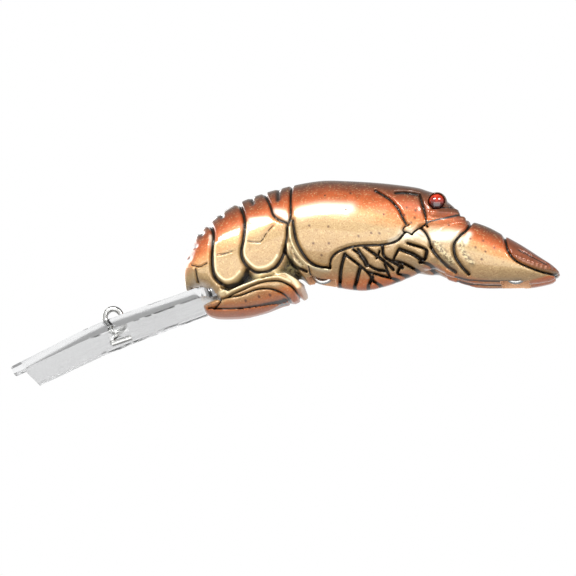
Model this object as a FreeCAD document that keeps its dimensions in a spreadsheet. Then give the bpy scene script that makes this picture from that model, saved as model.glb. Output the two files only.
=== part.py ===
"""Crankbait lure shaped like a crayfish: two hollow half shells, a clear diving lip, wire eyes and a rattle.

Frame, in millimetres: the origin is the centre of the line-tie eye. +X runs along the body from the
lip towards the claws, +Z is the back of the lure, and Y = 0 is the joint plane of the two shells.
The near half of the body, at -Y, is the left shell, because the lure swims lip first.
"""
import FreeCAD, Part
import math
import os

import Sketcher
from FreeCAD import Vector

os.makedirs("parts", exist_ok=True)
doc = FreeCAD.newDocument("crankbait_lure")

# ---------------------------------------------------------------- driving dimensions, in mm

DIMENSIONS = {
    "shell_wall": 1.2,            # moulded wall of the body
    "fit_gap": 0.05,              # gap round a piece that sits in a pocket of the shells
    "lip_width": 12.0,
    "tang_width": 6.4,            # part of the lip that the shells grip
    "tang_neck": 4.0,             # width between the two notches of the tang
    "prong_width": 2.0,           # step at the lip's end, on the left
    "prong_reach": 1.3,
    "wire_width": 0.8,            # wire of the three eyes
    "tie_bore": 0.7,              # radius inside the line-tie eye
    "hanger_bore": 0.8,           # radius inside each hook hanger's eye
    "eye_round": 0.15,            # rounding of the wire's edges
    "pin_radius": 0.7,            # locating pins of the left shell
    "boss_radius": 1.7,
    "pin_length": 1.6,
    "pin_root": 1.0,              # how far a pin starts inside its boss
    "pin_slack": 0.05,            # how much wider a socket is than its pin, on the radius
    "socket_depth": 1.9,
    "ball_radius": 1.6,
    "chamber_radius": 1.9,
    "chamber_wall": 0.8,
    "chamber_depth": 4.3,         # from the joint plane to the chamber's end in each shell
    "weight_radius": 1.9,
    "weight_length": 7.4,
    "weight_bevel": 0.4,
    "weight_x": 34.8,
    "weight_z": 7.05,
    "eye_x": 44.5,                # the red eyes on the head
    "eye_y": 4.9,
    "eye_z": 13.5,
    "eye_radius": 1.05,
    "eye_mound_radius": 1.35,     # round boss on the head that carries each eye
    "eye_dome": 0.75,
    "eye_rim": 0.3,
    "eye_stem_radius": 0.55,
    "eye_stem_length": 1.6,
    "recess_half_width": 2.4,     # hollows in the underside that give room for the hook rings
    "recess_half_length": 1.9,
    "recess_wall": 0.9,
    "belly_eye_x": 28.6,
    "belly_eye_z": 5.3,
    "tail_eye_x": 54.6,
    "tail_eye_z": 4.6,
}


def make_sheet():
    """The spreadsheet with one row for each driving dimension."""
    table = doc.addObject("Spreadsheet::Sheet", "Dimensions")
    for row, (alias, value) in enumerate(DIMENSIONS.items(), start=1):
        table.set(f"A{row}", alias)
        table.set(f"B{row}", str(value))
        table.setAlias(f"B{row}", alias)
    doc.recompute()
    return table


sheet = make_sheet()


def size(alias):
    """One driving dimension, read back from the sheet."""
    return float(sheet.get(alias))


# ---------------------------------------------------------------- outline of the body
# Each section is (foot x, foot z, crown x, crown z, half width). Its ellipse stands on the line
# from the foot to the crown. The lines fan out round the curled front of the abdomen.

BODY_SECTIONS = [
    (10.5, 3.45, 9.75, 5.2, 2.4),
    (11.4, 3.5, 9.95, 7.8, 4.1),
    (12.8, 3.5, 11.3, 10.8, 5.2),
    (15.0, 3.5, 14.0, 13.3, 5.9),
    (18.5, 3.5, 18.3, 15.6, 6.3),
    (23.0, 3.5, 23.0, 16.95, 6.6),
    (28.0, 3.55, 28.3, 17.8, 6.9),
    (33.5, 2.85, 33.6, 17.7, 7.0),
    (38.5, 3.9, 38.7, 17.0, 6.8),
    (42.0, 4.85, 42.3, 16.2, 6.3),
    (45.0, 5.6, 45.3, 14.8, 5.5),
    (47.4, 6.3, 47.8, 12.2, 4.2),
]
# Each section is (x, underside z, top z, centre y, half width).
CLAW_SECTIONS = [
    (40.5, 6.2, 11.6, 2.2, 2.7),
    (43.5, 4.9, 12.0, 1.7, 3.8),
    (47.0, 3.55, 11.7, 1.4, 4.2),
    (50.5, 2.85, 10.75, 1.3, 4.25),
    (54.0, 2.7, 8.9, 1.2, 4.0),
    (57.0, 2.85, 7.05, 1.1, 3.5),
    (59.3, 3.2, 5.5, 0.8, 2.6),
    (60.5, 3.95, 4.45, 0.6, 0.8),
]
FAN_SECTIONS = [
    (12.6, 0.1, 1.1, 0.0, 2.2),
    (14.0, -0.35, 2.0, 0.0, 4.6),
    (17.0, -0.4, 3.9, 0.0, 5.8),
    (20.5, 0.1, 4.6, 0.0, 6.0),
    (23.5, 1.2, 5.2, 0.0, 5.4),
    (25.9, 2.4, 4.9, 0.0, 3.9),
]

# The top face of the lip in side view, from its end to the tang inside the body.
LIP_TOP = [(-12.8, -7.7), (-1.1, -1.98), (20.6, 5.2)]
LIP_THICKNESS = [1.1, 1.55, 1.2]
FRONT_SLOPE, REAR_SLOPE = 26.0, 18.3
LIP_SHOULDER_X = 13.4
NOTCH_FROM_X, NOTCH_TO_X = 15.4, 18.0
PAST_TANG_X, PAST_LIP_X = 24.0, -16.0
GRIP = (13.0, 21.6, 2.4, 6.5)     # x and z limits of the block that holds the tang

RATTLES = {
    "rattle_ball_front": (24.6, 11.9),
    "rattle_ball_middle": (31.2, 12.3),
    "rattle_ball_rear": (37.8, 11.8),
}
PINS = [(14.6, 8.6), (20.6, 9.3), (41.3, 7.6), (43.6, 11.0)]
HANGER_LOOPS = {"belly": (28.6, 9.3), "tail": (49.6, 7.0)}
WEIGHT_CRADLES = (-2.3, 2.3)
CRADLE_FOOT_Z, CRADLE_HALF_THICK = 2.5, 0.5
PLATE_FROM_X = 8.0                # plan outline of the lip inside the body
PLATE_LOW_Z, PLATE_HIGH_Z = -2.0, 8.0
LEFT_SIDE = (-20, 70, -12, 0, -10, 25)    # a box that holds everything left of the joint plane
RIB_DEPTH = 8.0                   # ribs are drawn this deep and then trimmed to the hollow
EYE_MOUND_ROOT, EYE_RIB_TOP = -3.0, -2.4
RECESS_OPEN_Z = -3.0
RECESS_WALL_DROP = 4.0
THINNEST_SECTION = 3.5            # sections narrower than this many walls are left out of the hollow
TIE_BEND_Z = -3.73                # where the line tie's shank turns along the underside of the lip
TIE_FOOT = [(-0.05, -3.75), (2.6, -2.82)]
ELLIPSE_POINTS = 12


# ---------------------------------------------------------------- solids of the body

def ellipse_wire(foot, crown, centre_y, half_width):
    """A closed ellipse through foot and crown that is as wide as half_width on both sides of centre_y."""
    middle = (foot + crown) * 0.5
    half = (crown - foot) * 0.5
    points = []
    for index in range(ELLIPSE_POINTS):
        angle = math.pi / 2 + 2 * math.pi * index / ELLIPSE_POINTS
        points.append(middle + half * math.cos(angle) + Vector(0, centre_y + half_width * math.sin(angle), 0))
    curve = Part.BSplineCurve()
    curve.interpolate(points, PeriodicFlag=True)
    return Part.Wire([curve.toShape()])


def body_loft(inset):
    """The body without its claws, shrunk by inset on every side."""
    wires = []
    for foot_x, foot_z, crown_x, crown_z, half_width in BODY_SECTIONS:
        foot = Vector(foot_x, 0, foot_z)
        crown = Vector(crown_x, 0, crown_z)
        along = (crown - foot).normalize() * inset
        if half_width > THINNEST_SECTION * inset:
            wires.append(ellipse_wire(foot + along, crown - along, 0, half_width - inset))
    return Part.makeLoft(wires, True)


def upright_loft(sections, inset):
    """A lobe through upright sections on the left of the joint plane, shrunk by inset."""
    wires = []
    for x, low, high, centre_y, half_width in sections:
        foot = Vector(x, 0, low + inset)
        crown = Vector(x, 0, high - inset)
        wires.append(ellipse_wire(foot, crown, -centre_y, half_width - inset))
    return Part.makeLoft(wires, True)


def cylinder_y(x, z, radius, y_from, y_to):
    """A cylinder along Y between two distances from the joint plane."""
    return Part.makeCylinder(radius, y_to - y_from, Vector(x, y_from, z), Vector(0, 1, 0))


def box(x_from, x_to, y_from, y_to, z_from, z_to):
    """A box between three pairs of planes."""
    return Part.makeBox(x_to - x_from, y_to - y_from, z_to - z_from, Vector(x_from, y_from, z_from))


def lip_profile(gap):
    """Side view of the lip as a closed list of (x, z), grown by gap above and below."""
    upper = []
    lower = []
    for (x, z), thickness in zip(LIP_TOP, LIP_THICKNESS):
        slope = math.radians(FRONT_SLOPE if x < 0 else REAR_SLOPE)
        upper.append((x - gap * math.sin(slope), z + gap * math.cos(slope)))
        drop = thickness + gap
        lower.append((x + drop * math.sin(slope), z - drop * math.cos(slope)))
    return upper + lower[::-1]


def tang_space():
    """The room that the lip takes up inside the body, with the fit gap all round."""
    gap = size("fit_gap")
    points = [Vector(x, 0, z) for x, z in lip_profile(gap)]
    points.append(points[0])
    wide = size("lip_width") + 2 * gap
    prism = Part.Face(Part.makePolygon(points)).extrude(Vector(0, wide, 0))
    prism.translate(Vector(0, -wide / 2, 0))
    low, high = PLATE_LOW_Z, PLATE_HIGH_Z
    plate = box(PLATE_FROM_X, LIP_SHOULDER_X + gap, -wide / 2, wide / 2, low, high)
    neck = size("tang_neck") / 2 + gap
    tang = size("tang_width") / 2 + gap
    notched = plate.fuse([
        box(LIP_SHOULDER_X, PAST_TANG_X, -neck, neck, low, high),
        box(LIP_SHOULDER_X, NOTCH_FROM_X + gap, -tang, tang, low, high),
        box(NOTCH_TO_X - gap, PAST_TANG_X, -tang, tang, low, high),
    ])
    return prism.common(notched)


def half_of(solid):
    """The part of a solid that lies on the left of the joint plane."""
    return solid.common(box(*LEFT_SIDE))


def outer_half():
    """The left half of body, tail fan, claw and eye mound as one solid."""
    half = half_of(body_loft(0.0)).fuse(half_of(upright_loft(FAN_SECTIONS, 0.0)))
    half = half.fuse(half_of(upright_loft(CLAW_SECTIONS, 0.0)))
    x, y, z = size("eye_x"), -size("eye_y"), size("eye_z")
    return half.fuse(cylinder_y(x, z, size("eye_mound_radius"), y, EYE_MOUND_ROOT))


def hollows():
    """The hollow of the body and the one of the claw's thick end, less the ribs that stand in them."""
    wall = size("shell_wall")
    spaces = [half_of(body_loft(wall)), half_of(upright_loft(CLAW_SECTIONS[1:6], wall))]
    for rib in ribs():
        spaces = [space.cut(rib) for space in spaces]
    return spaces


def eye_seat():
    """The pocket for the left eye and its stem."""
    x, y, z = size("eye_x"), -size("eye_y"), size("eye_z")
    gap = size("fit_gap")
    dome = cylinder_y(x, z, size("eye_radius") + gap, y - 3, y + size("eye_rim") + gap)
    hole = cylinder_y(x, z, size("eye_stem_radius") + gap, y, y + size("eye_stem_length") + 0.2)
    return dome.fuse(hole)


def ribs():
    """What stands inside a shell: bosses, rattle chambers, the lip's grip and the weight's cradle."""
    depth = RIB_DEPTH
    wall = size("chamber_wall")
    loop = size("hanger_bore") + size("wire_width") + size("recess_wall")
    pieces = []
    for x, z in PINS:
        pieces.append(cylinder_y(x, z, size("boss_radius"), -depth, 0))
    for x, z in RATTLES.values():
        pieces.append(cylinder_y(x, z, size("chamber_radius") + wall, -depth, 0))
    for x, z in HANGER_LOOPS.values():
        pieces.append(cylinder_y(x, z, loop, -depth, 0))
    half = CRADLE_HALF_THICK
    top = size("weight_z") + wall
    for offset in WEIGHT_CRADLES:
        middle = size("weight_x") + offset
        pieces.append(box(middle - half, middle + half, -depth, 0, CRADLE_FOOT_Z, top))
    pieces.append(box(GRIP[0], GRIP[1], -depth, 0, GRIP[2], GRIP[3]))
    pieces.append(cylinder_y(size("eye_x"), size("eye_z"), size("boss_radius"), -depth, EYE_RIB_TOP))
    return pieces + recess_walls()


def recess_walls():
    """The walls round the two hollows in the underside, before they are hollowed."""
    wall = size("recess_wall")
    wide = size("recess_half_width") + wall
    long = size("recess_half_length")
    walls = []
    for name in HANGER_LOOPS:
        x, z = size(name + "_eye_x"), size(name + "_eye_z")
        walls.append(box(x - long - wall, x + long + wall, -wide, 0, z - RECESS_WALL_DROP, z + long + wall))
    return walls


def pockets():
    """Everything that is cut out of a shell: chambers, weight, wire seats, recesses and the lip's slot."""
    gap = size("fit_gap")
    cuts = [tang_space(), eye_seat()]
    for x, z in RATTLES.values():
        cuts.append(cylinder_y(x, z, size("chamber_radius"), -size("chamber_depth"), 1))
    half = size("weight_length") / 2 + gap
    start = Vector(size("weight_x") - half, 0, size("weight_z"))
    cuts.append(Part.makeCylinder(size("weight_radius") + gap, 2 * half, start, Vector(1, 0, 0)))
    wide = size("recess_half_width")
    long = size("recess_half_length")
    for name in HANGER_LOOPS:
        x, z = size(name + "_eye_x"), size(name + "_eye_z")
        cuts.append(cylinder_y(x, z, long, -wide, 1))
        cuts.append(box(x - long, x + long, -wide, 1, RECESS_OPEN_Z, z))
        cuts.append(hanger_shape(name, gap))
    return cuts


# ---------------------------------------------------------------- wire pieces

def coined_ring(x, z, bore, width, gap):
    """A wire loop about an axis along Y, pressed flat inside and rounded outside."""
    outer = bore + width
    half = width / 2 + gap
    ring = cylinder_y(x, z, outer + gap, -half, half)
    if gap:
        return ring.cut(cylinder_y(x, z, bore - gap, -half, half))
    rounded = ring.makeFillet(size("eye_round"), ring.Edges)
    return rounded.cut(cylinder_y(x, z, bore, -half, half))


def wire_run(start, end, width, gap):
    """A straight length of wire between two points of the joint plane."""
    a, b = Vector(start[0], 0, start[1]), Vector(end[0], 0, end[1])
    return Part.makeCylinder(width / 2 + gap, (b - a).Length, a, b - a)


def hanger_shape(name, gap):
    """A figure-eight hook hanger: the eye outside, a short run of wire and a loop round a pin inside."""
    width = size("wire_width")
    bore = size("hanger_bore")
    x, z = size(name + "_eye_x"), size(name + "_eye_z")
    loop_x, loop_z = HANGER_LOOPS[name]
    reach = math.hypot(loop_x - x, loop_z - z)
    step = (bore + width / 2) / reach
    start = (x + (loop_x - x) * step, z + (loop_z - z) * step)
    end = (loop_x - (loop_x - x) * step, loop_z - (loop_z - z) * step)
    eye = coined_ring(x, z, bore, width, gap)
    loop = coined_ring(loop_x, loop_z, bore, width, gap)
    return eye.fuse([loop, wire_run(start, end, width, gap)]).removeSplitter()


def line_tie_shape():
    """The eye on the lip, its shank through the lip and the foot clinched against the underside."""
    width = size("wire_width")
    bore = size("tie_bore")
    eye = coined_ring(0, 0, bore, width, 0)
    shank = wire_run((0, -bore - width / 2), (0, TIE_BEND_Z), width, 0)
    foot = wire_run(TIE_FOOT[0], TIE_FOOT[1], width, 0)
    bend = Part.makeSphere(width / 2, Vector(0, 0, TIE_BEND_Z))
    return eye.fuse([shank, bend, foot]).removeSplitter()


# ---------------------------------------------------------------- sub-parts of the document

def feature(label, shape):
    """A sub-part whose form is neither a primitive nor a sketched feature."""
    item = doc.addObject("Part::Feature", label)
    item.Label = label
    item.Shape = shape
    item.Placement = FreeCAD.Placement()
    return item


def origin_plane(body, role):
    """One of a body's own origin planes."""
    return next(item for item in body.Origin.OriginFeatures if item.Role == role)


def sketch_on(body, name, role):
    """An empty sketch on one origin plane of the body."""
    sketch = body.newObject("Sketcher::SketchObject", name)
    sketch.AttachmentSupport = [(origin_plane(body, role), "")]
    sketch.MapMode = "FlatFace"
    return sketch


def draw_polygon(sketch, points):
    """A closed outline whose corners are bound to expressions, each corner an (x, y) pair of text."""
    doc.recompute()
    count = len(points)
    guess = [Vector(float(x[1]), float(y[1]), 0) for x, y in points]
    first = sketch.GeometryCount
    for index in range(count):
        line = Part.LineSegment(guess[index], guess[(index + 1) % count])
        sketch.addGeometry(line, False)
    for index in range(count):
        following = first + (index + 1) % count
        sketch.addConstraint(Sketcher.Constraint("Coincident", first + index, 2, following, 1))
    for index, (x, y) in enumerate(points):
        for kind, (expression, value) in (("DistanceX", x), ("DistanceY", y)):
            if abs(value) < 1e-6:
                continue
            number = sketch.addConstraint(Sketcher.Constraint(kind, -1, 1, first + index, 1, value))
            if "Dimensions" in expression:
                sketch.setExpression(f"Constraints[{number}]", expression)


def draw_circle(sketch, radius, expression):
    """A circle about the sketch's origin whose radius follows the expression."""
    sketch.addGeometry(Part.Circle(Vector(0, 0, 0), Vector(0, 0, 1), radius), False)
    sketch.addConstraint(Sketcher.Constraint("Coincident", 0, 3, -1, 1))
    constraint = sketch.addConstraint(Sketcher.Constraint("Radius", 0, radius))
    sketch.setExpression(f"Constraints[{constraint}]", expression)


def number(value):
    """A fixed coordinate for draw_polygon."""
    return (str(value), float(value))


def bound(expression, value):
    """A coordinate for draw_polygon that follows the sheet."""
    return (expression, float(value))


def make_lip():
    """The clear diving lip: a bent plate with a step at its end and a notched tang inside the body."""
    body = doc.addObject("PartDesign::Body", "diving_lip")
    body.Label = "diving_lip"
    side_view = sketch_on(body, "lip_side_view", "XZ_Plane")
    draw_polygon(side_view, [(number(round(x, 4)), number(round(z, 4))) for x, z in lip_profile(0.0)])
    plate = body.newObject("PartDesign::Pad", "lip_plate")
    plate.Profile = side_view
    plate.Midplane = True
    plate.setExpression("Length", "Dimensions.lip_width")
    doc.recompute()
    trim_lip(body)
    return body


def trim_lip(body):
    """Cuts the plate to its plan outline and makes the hole and groove for the line tie."""
    half = size("lip_width") / 2
    tang = size("tang_width") / 2
    neck = size("tang_neck") / 2
    end_x = LIP_TOP[0][0] + size("prong_reach")
    for side in (-1, 1):
        flank = sketch_on(body, f"flank_{'left' if side < 0 else 'right'}", "XY_Plane")
        outer = bound(f"Dimensions.lip_width * {side}", 2 * half * side)
        wide = bound(f"Dimensions.tang_width * {side / 2}", tang * side)
        slim = bound(f"Dimensions.tang_neck * {side / 2}", neck * side)
        draw_polygon(flank, [
            (number(LIP_SHOULDER_X), outer), (number(LIP_SHOULDER_X), wide), (number(NOTCH_FROM_X), wide),
            (number(NOTCH_FROM_X), slim), (number(NOTCH_TO_X), slim), (number(NOTCH_TO_X), wide),
            (number(PAST_TANG_X), wide), (number(PAST_TANG_X), outer)])
        cut_through(body, flank, f"flank_cut_{'left' if side < 0 else 'right'}")
    step = sketch_on(body, "lip_end_step", "XY_Plane")
    inner = size("prong_width") - half
    draw_polygon(step, [
        (number(PAST_LIP_X), bound("Dimensions.prong_width - Dimensions.lip_width / 2", inner)),
        (number(end_x), bound("Dimensions.prong_width - Dimensions.lip_width / 2", inner)),
        (number(end_x), bound("Dimensions.lip_width", 2 * half)),
        (number(PAST_LIP_X), bound("Dimensions.lip_width", 2 * half))])
    cut_through(body, step, "lip_end_step_cut")
    hole = sketch_on(body, "shank_hole_outline", "XY_Plane")
    room = size("wire_width") / 2 + size("fit_gap")
    draw_circle(hole, room, "Dimensions.wire_width / 2 + Dimensions.fit_gap")
    cut_through(body, hole, "shank_hole")


def cut_through(body, sketch, name):
    """A pocket through everything, on both sides of its sketch."""
    before = body.Shape.Volume
    pocket = body.newObject("PartDesign::Pocket", name)
    pocket.Profile = sketch
    pocket.Type = "ThroughAll"
    pocket.Midplane = True
    doc.recompute()
    if not body.Shape.Volume < before - 0.1:
        raise RuntimeError(name + " removed nothing")


def make_weight():
    """The ballast: a turned rod with bevelled ends that lies along the belly."""
    body = doc.addObject("PartDesign::Body", "ballast_weight")
    body.Label = "ballast_weight"
    outline = sketch_on(body, "weight_outline", "YZ_Plane")
    draw_circle(outline, size("weight_radius"), "Dimensions.weight_radius")
    rod = body.newObject("PartDesign::Pad", "weight_rod")
    rod.Profile = outline
    rod.Midplane = True
    rod.setExpression("Length", "Dimensions.weight_length")
    doc.recompute()
    bevel = body.newObject("PartDesign::Chamfer", "weight_bevel")
    rims = []
    for index, edge in enumerate(rod.Shape.Edges, start=1):
        if edge.Curve.TypeId == "Part::GeomCircle":
            rims.append(f"Edge{index}")
    bevel.Base = (rod, rims)
    bevel.setExpression("Size", "Dimensions.weight_bevel")
    body.setExpression("Placement.Base.x", "Dimensions.weight_x")
    body.setExpression("Placement.Base.z", "Dimensions.weight_z")
    doc.recompute()
    return body


def make_ball(label, x, z):
    """One steel rattle ball at the middle of its chamber."""
    ball = doc.addObject("Part::Sphere", label)
    ball.Label = label
    ball.setExpression("Radius", "Dimensions.ball_radius")
    ball.Placement.Base = Vector(x, 0, z)
    return ball


def make_eye(label, side):
    """A domed eye on a stem, turned about an axis along Y."""
    radius, dome = size("eye_radius"), size("eye_dome")
    rim = size("eye_rim")
    curve = (radius ** 2 + dome ** 2) / (2 * dome)
    cap = Part.makeSphere(curve, Vector(0, curve - dome, 0), Vector(0, 1, 0))
    disc = cylinder_y(0, 0, radius, -curve, rim)
    stem = cylinder_y(0, 0, size("eye_stem_radius"), 0, size("eye_stem_length"))
    shape = disc.common(cap).fuse(stem).removeSplitter()
    if side > 0:
        shape = shape.mirror(Vector(0, 0, 0), Vector(0, 1, 0))
    eye = feature(label, shape)
    eye.Placement.Base = Vector(size("eye_x"), side * size("eye_y"), size("eye_z"))
    return eye


def bare_shell():
    """The left half shell without its pins, and in mirror image the right one without its sockets."""
    shell = outer_half()
    for space in hollows() + pockets():
        shell = shell.cut(space)
    return largest_solid(shell)


def make_shells():
    """The two half shells: pins on the left one, and sockets for them in the right one."""
    bare = bare_shell()
    pins = []
    sockets = []
    slack = size("pin_slack")
    pin_radius = size("pin_radius")
    for x, z in PINS + list(HANGER_LOOPS.values()):
        pins.append(cylinder_y(x, z, pin_radius, -size("pin_root"), size("pin_length")))
        sockets.append(cylinder_y(x, z, pin_radius + slack, -slack, size("socket_depth")))
    mirrored = bare.mirror(Vector(0, 0, 0), Vector(0, 1, 0))
    left = feature("left_body_shell", largest_solid(bare.fuse(pins)))
    right = feature("right_body_shell", largest_solid(mirrored.cut(sockets)))
    return [left, right]


def largest_solid(shape):
    """The shell itself, once any chip that a cut leaves free is dropped."""
    return max(shape.Solids, key=lambda solid: solid.Volume)


def build():
    """Makes every sub-part and gives the list of them."""
    parts = make_shells() + [
        make_lip(),
        feature("line_tie_eye", line_tie_shape()),
        feature("belly_hook_hanger", hanger_shape("belly", 0)),
        feature("tail_hook_hanger", hanger_shape("tail", 0)),
        make_eye("left_eye", -1),
        make_eye("right_eye", 1),
        make_weight(),
    ]
    parts += [make_ball(label, x, z) for label, (x, z) in RATTLES.items()]
    doc.recompute()
    return parts


def check(parts):
    """Stops on a failed feature or on a sub-part that isn't one valid solid."""
    for item in doc.Objects:
        if "Invalid" in item.State or "Error" in item.State:
            raise RuntimeError("failed feature: " + item.Name)
    for part in parts:
        shape = part.Shape
        if shape.isNull() or not shape.isValid() or len(shape.Solids) != 1:
            raise RuntimeError(f"bad shape: {part.Label} {shape.isValid()} {len(shape.Solids)}")


def export(parts):
    """Writes one file for each sub-part."""
    for part in parts:
        part.Shape.exportStep(f"parts/{part.Label}.step")
        bounds = part.Shape.BoundBox
        print(f"{part.Label:20s} {part.Shape.Volume:9.2f} mm3  x {bounds.XMin:.2f}..{bounds.XMax:.2f}"
              f"  y {bounds.YMin:.2f}..{bounds.YMax:.2f}  z {bounds.ZMin:.2f}..{bounds.ZMax:.2f}")


sub_parts = build()
check(sub_parts)
export(sub_parts)
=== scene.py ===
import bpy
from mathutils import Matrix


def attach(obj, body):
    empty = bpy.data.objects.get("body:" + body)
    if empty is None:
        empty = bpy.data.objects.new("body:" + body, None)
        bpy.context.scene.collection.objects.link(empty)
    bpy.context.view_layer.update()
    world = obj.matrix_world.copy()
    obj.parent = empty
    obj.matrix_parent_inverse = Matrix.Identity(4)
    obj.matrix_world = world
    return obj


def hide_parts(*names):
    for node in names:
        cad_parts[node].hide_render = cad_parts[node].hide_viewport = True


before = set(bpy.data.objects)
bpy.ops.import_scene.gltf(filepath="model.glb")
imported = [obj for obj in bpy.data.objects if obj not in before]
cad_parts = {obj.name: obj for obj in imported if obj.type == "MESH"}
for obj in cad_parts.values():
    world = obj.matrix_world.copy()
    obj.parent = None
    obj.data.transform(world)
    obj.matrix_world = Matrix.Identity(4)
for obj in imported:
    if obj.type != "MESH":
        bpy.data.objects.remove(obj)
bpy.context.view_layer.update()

import math

import bpy
import numpy as np
from mathutils import Matrix, Vector

MM = 0.001

# ---------------------------------------------------------------- outlines of the body, in mm, as (x, z)

BODY_TOP = [(10.1, 3.3), (9.65, 5.8), (10.1, 8.0), (10.9, 10.1), (12.5, 11.8), (15.1, 13.9), (18.4, 15.6),
            (22.8, 16.9), (28.2, 17.8), (32.6, 17.65), (36.9, 17.2), (41.3, 16.45), (43.2, 15.8),
            (44.6, 15.2), (46.2, 13.8), (47.4, 12.5)]
BODY_BOTTOM = [(10.1, 3.3), (11.9, 3.5), (13.6, 2.7), (14.6, 1.6), (17.5, 1.3), (21.5, 2.0), (25.5, 3.3),
               (27.1, 3.8), (30.4, 3.3), (34.2, 2.8), (38.0, 3.6), (41.3, 4.9), (43.6, 5.6), (45.8, 8.2),
               (47.0, 10.8), (47.4, 12.5)]
CLAW_TOP = [(39.4, 8.0), (41.5, 9.6), (44.4, 11.1), (46.8, 11.75), (48.9, 11.35), (51.1, 10.55),
            (53.3, 9.3), (55.5, 8.0), (57.7, 6.5), (59.6, 5.2), (60.5, 4.3)]
CLAW_BOTTOM = [(39.4, 8.0), (40.3, 5.8), (43.5, 4.9), (45.7, 4.1), (47.8, 3.35), (50.0, 2.9),
               (55.5, 2.75), (58.7, 3.1), (60.0, 3.6), (60.5, 4.3)]
FAN_TOP = [(12.5, 0.9), (13.6, 1.4), (15.6, 2.0), (17.8, 3.0), (20.5, 4.3), (22.8, 5.0), (24.6, 4.8),
            (25.9, 3.7), (26.15, 2.7)]
FAN_BOTTOM = [(12.5, 0.9), (12.9, 0.0), (14.0, -0.35), (16.2, -0.4), (18.4, -0.25), (20.6, 0.25),
              (22.8, 1.0), (24.9, 1.6), (26.15, 2.7)]
BODY_WIDTH = [(9.7, 3.6), (12.0, 5.2), (15.0, 6.0), (20.0, 6.4), (28.0, 6.9), (33.0, 7.0), (38.0, 6.8),
              (42.0, 6.3), (45.0, 5.4), (47.4, 4.0)]
CLAW_WIDTH = [(39.4, 2.4), (42.0, 3.5), (46.0, 4.1), (50.5, 4.2), (54.0, 4.0), (57.0, 3.5), (59.3, 2.6),
               (60.5, 0.9)]
CLAW_CENTRE = [(39.4, 2.5), (43.0, 1.8), (47.0, 1.4), (51.0, 1.3), (54.0, 1.2), (57.0, 1.1), (60.5, 0.6)]
FAN_WIDTH = [(12.5, 1.8), (14.0, 4.2), (17.0, 5.6), (20.5, 5.9), (23.5, 5.4), (26.15, 3.4)]

# ---------------------------------------------------------------- relief: curves on the side, in mm

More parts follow.
